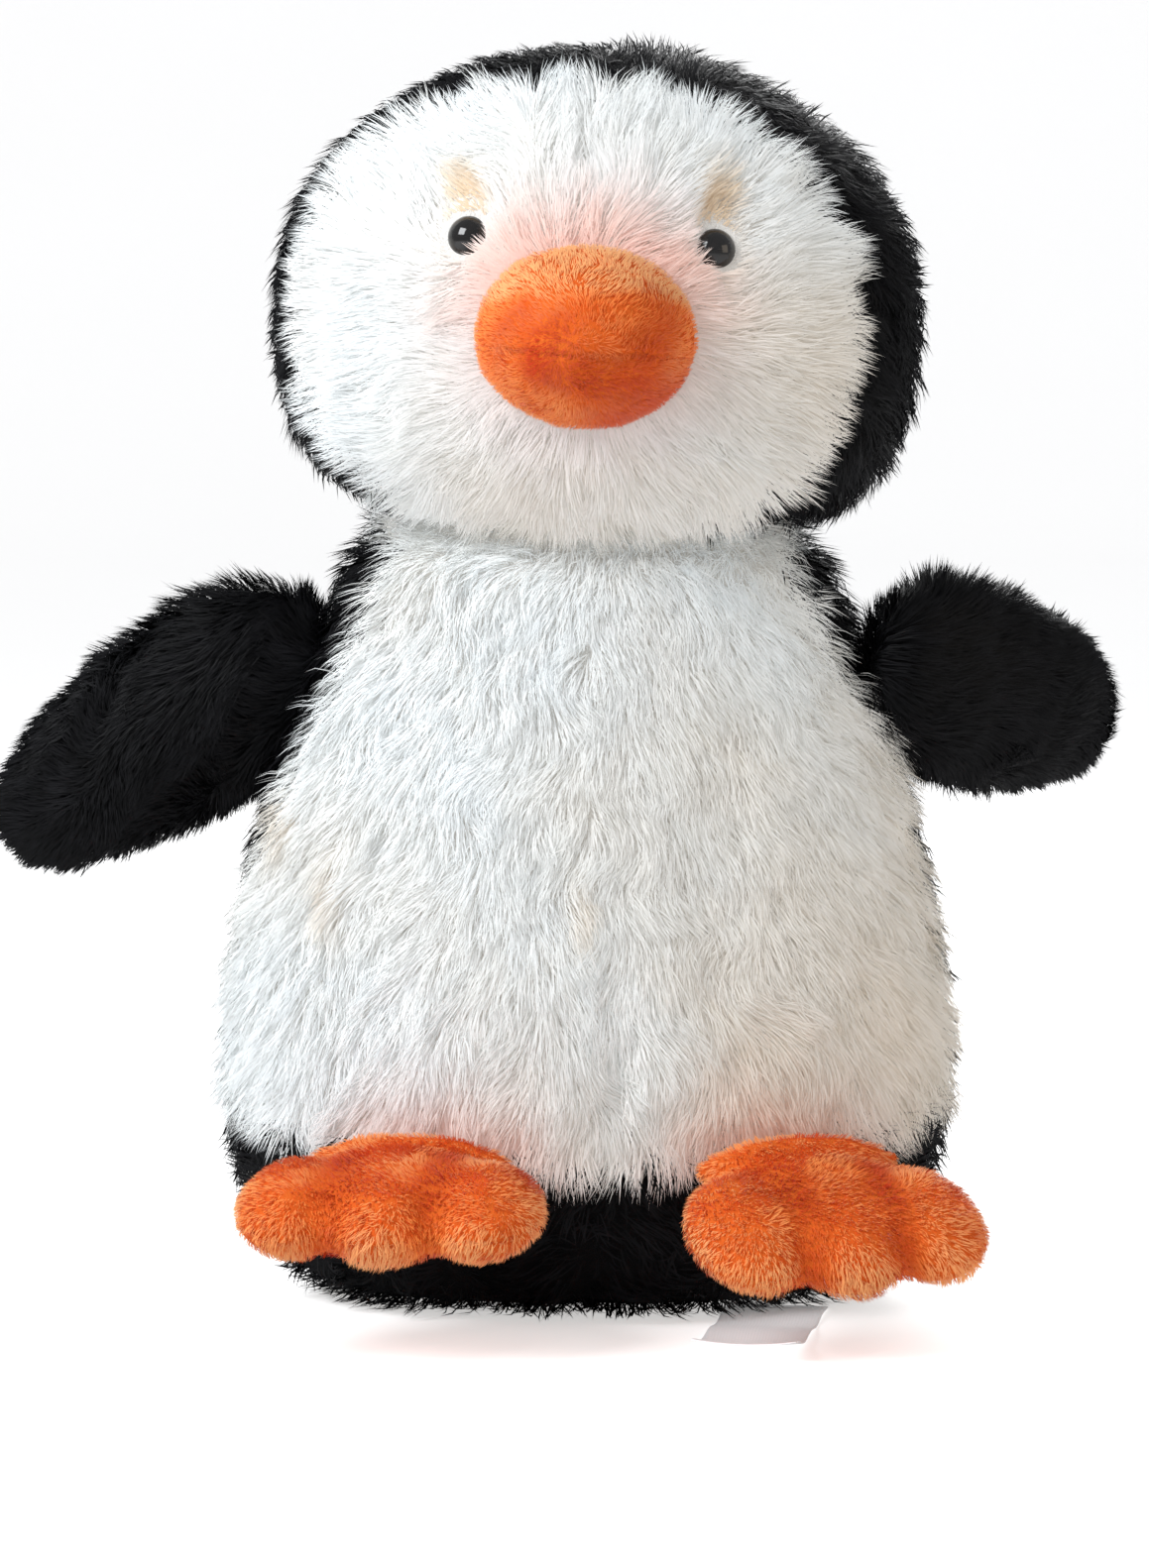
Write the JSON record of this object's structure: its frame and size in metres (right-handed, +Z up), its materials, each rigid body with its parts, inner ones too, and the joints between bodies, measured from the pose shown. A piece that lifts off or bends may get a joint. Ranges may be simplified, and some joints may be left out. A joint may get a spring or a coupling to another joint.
{
  "type": "plush penguin",
  "caption": "Soft stuffed penguin sitting upright on a flat base, with a floppy head, flippers and webbed feet.",
  "frame": {"origin": "centre of the flat base that the toy sits on", "axes": "+Z up through the head; the front of the toy faces -Y; +X is the toy's own left"},
  "size_m": [0.2796, 0.1772, 0.3108],
  "materials": {
    "white_plush": "long soft pile, matte",
    "black_plush": "shaggy pile, matte with fine glints",
    "orange_plush": "short velvet pile",
    "filling": "loose polyester fibre",
    "eye_plastic": "polished",
    "washer_plastic": "moulded, plain",
    "satin_label": "satin ribbon"
  },
  "bodies": {
    "trunk": {"belly_panel": "white_plush", "back_panel_left": "black_plush", "back_panel_right": "black_plush", "base_panel": "black_plush", "body_stuffing": "filling", "care_label": "satin_label"},
    "neck_lower": {"neck_wad_lower": "filling"},
    "neck_upper": {"neck_wad_upper": "filling"},
    "head": {"face_panel": "white_plush", "hood_left": "black_plush", "hood_right": "black_plush", "head_stuffing": "filling", "beak_upper": "orange_plush", "beak_lower": "orange_plush", "beak_stuffing": "filling", "left_eye": "eye_plastic", "right_eye": "eye_plastic", "left_eye_washer": "washer_plastic", "right_eye_washer": "washer_plastic"},
    "left_shoulder": {"left_flipper_root": "black_plush"},
    "left_flipper": {"left_flipper_front": "black_plush", "left_flipper_back": "black_plush", "left_flipper_stuffing": "filling"},
    "right_shoulder": {"right_flipper_root": "black_plush"},
    "right_flipper": {"right_flipper_front": "black_plush", "right_flipper_back": "black_plush", "right_flipper_stuffing": "filling"},
    "left_foot": {"left_foot_top": "orange_plush", "left_foot_sole": "orange_plush", "left_foot_stuffing": "filling"},
    "right_foot": {"right_foot_top": "orange_plush", "right_foot_sole": "orange_plush", "right_foot_stuffing": "filling"}
  },
  "joints": [
    {"name": "head_tilt", "type": "hinge", "parent": "trunk", "child": "neck_lower", "pos_m": [0, 0, 0.19], "axis": [0, 1, 0], "range_deg": [-8, 8], "stiffness_Nm_per_rad": 0.8},
    {"name": "head_nod", "type": "hinge", "parent": "neck_lower", "child": "neck_upper", "pos_m": [0, 0, 0.19], "axis": [1, 0, 0], "range_deg": [-9, 9], "stiffness_Nm_per_rad": 0.8},
    {"name": "head_turn", "type": "hinge", "parent": "neck_upper", "child": "head", "pos_m": [0, 0, 0.19], "axis": [0, 0, 1], "range_deg": [-25, 25], "stiffness_Nm_per_rad": 0.3},
    {"name": "left_flipper_sweep", "type": "hinge", "parent": "trunk", "child": "left_shoulder", "pos_m": [0.08467, 0, 0.154], "axis": [0, 0, -1], "range_deg": [-10, 55], "stiffness_Nm_per_rad": 0.1},
    {"name": "left_flipper_raise", "type": "hinge", "parent": "left_shoulder", "child": "left_flipper", "pos_m": [0.08467, 0, 0.154], "axis": [0.766, -0.6428, 0], "range_deg": [-26, 50], "stiffness_Nm_per_rad": 0.15},
    {"name": "right_flipper_sweep", "type": "hinge", "parent": "trunk", "child": "right_shoulder", "pos_m": [-0.08467, 0, 0.154], "axis": [0, 0, 1], "range_deg": [-30, 30], "stiffness_Nm_per_rad": 0.1},
    {"name": "right_flipper_raise", "type": "hinge", "parent": "right_shoulder", "child": "right_flipper", "pos_m": [-0.08467, 0, 0.154], "axis": [0.2588, 0.9659, 0], "range_deg": [-8, 70], "stiffness_Nm_per_rad": 0.15},
    {"name": "left_foot_flap", "type": "hinge", "parent": "trunk", "child": "left_foot", "pos_m": [0.04925, -0.05887, 0.041], "axis": [-0.9397, -0.342, 0], "range_deg": [-2, 45], "stiffness_Nm_per_rad": 0.2},
    {"name": "right_foot_flap", "type": "hinge", "parent": "trunk", "child": "right_foot", "pos_m": [-0.04232, -0.06115, 0.041], "axis": [-0.9903, 0.1392, 0], "range_deg": [-11, 40], "stiffness_Nm_per_rad": 0.2}
  ]
}
